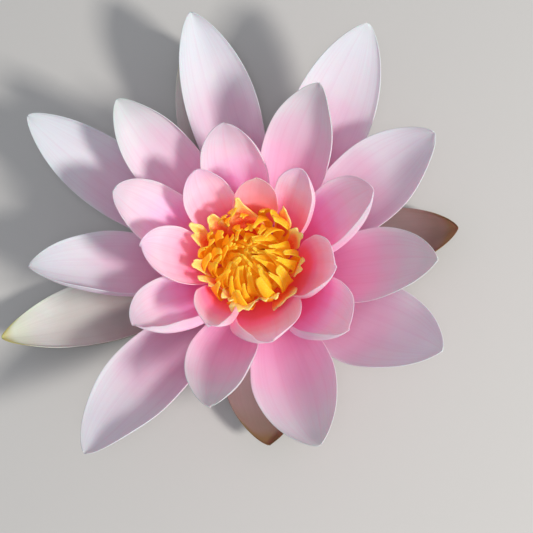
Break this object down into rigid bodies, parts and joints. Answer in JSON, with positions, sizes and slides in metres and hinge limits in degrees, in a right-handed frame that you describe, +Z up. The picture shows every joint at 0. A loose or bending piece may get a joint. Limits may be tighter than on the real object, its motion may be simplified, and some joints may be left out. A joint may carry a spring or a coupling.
{
  "type": "water lily flower",
  "caption": "Open water lily flower with spreading sepals, cupped pink petals in layered whorls and a golden crown of stamens, standing on its cut stalk.",
  "frame": {"origin": "centre of the flat cut face of the stalk, on which the flower stands", "axes": "+Z up the flower's axis, out of its face; +Y towards the two long petals that stand side by side; +X to the right of them, seen from above"},
  "size_m": [0.1321, 0.1257, 0.046],
  "materials": {
    "receptacle": "matt plant tissue, yellow-green, with a cream stigma",
    "sepal": "leathery, satin; cream to brownish pink inside, olive-brown outside",
    "petal_outer": "waxy petal, satin; lilac-white tip to pale pink base",
    "petal_second": "waxy petal, satin; pale margin to rose pink base",
    "petal_third": "waxy petal, satin; pale margin to rose pink base",
    "petal_fourth": "waxy petal, satin; pale tip to coral red base",
    "petal_inner": "waxy petal, satin; cream tip to salmon base",
    "stamens": "matt, golden yellow with orange-red roots"
  },
  "bodies": {
    "root": {"receptacle": "receptacle", "sepal_1": "sepal", "sepal_2": "sepal", "sepal_3": "sepal", "sepal_4": "sepal", "petal_outer_1": "petal_outer", "petal_outer_2": "petal_outer", "petal_outer_3": "petal_outer", "petal_outer_4": "petal_outer", "petal_outer_5": "petal_outer", "petal_outer_6": "petal_outer", "petal_outer_7": "petal_outer", "petal_second_1": "petal_second", "petal_second_2": "petal_second", "petal_second_3": "petal_second", "petal_second_4": "petal_second", "petal_second_5": "petal_second", "petal_third_1": "petal_third", "petal_third_2": "petal_third", "petal_third_3": "petal_third", "petal_third_4": "petal_third", "petal_third_5": "petal_third", "petal_fourth_1": "petal_fourth", "petal_fourth_2": "petal_fourth", "petal_fourth_3": "petal_fourth", "petal_fourth_4": "petal_fourth", "petal_fourth_5": "petal_fourth", "petal_fourth_6": "petal_fourth", "petal_inner_1": "petal_inner", "stamens": "stamens"}
  },
  "joints": []
}
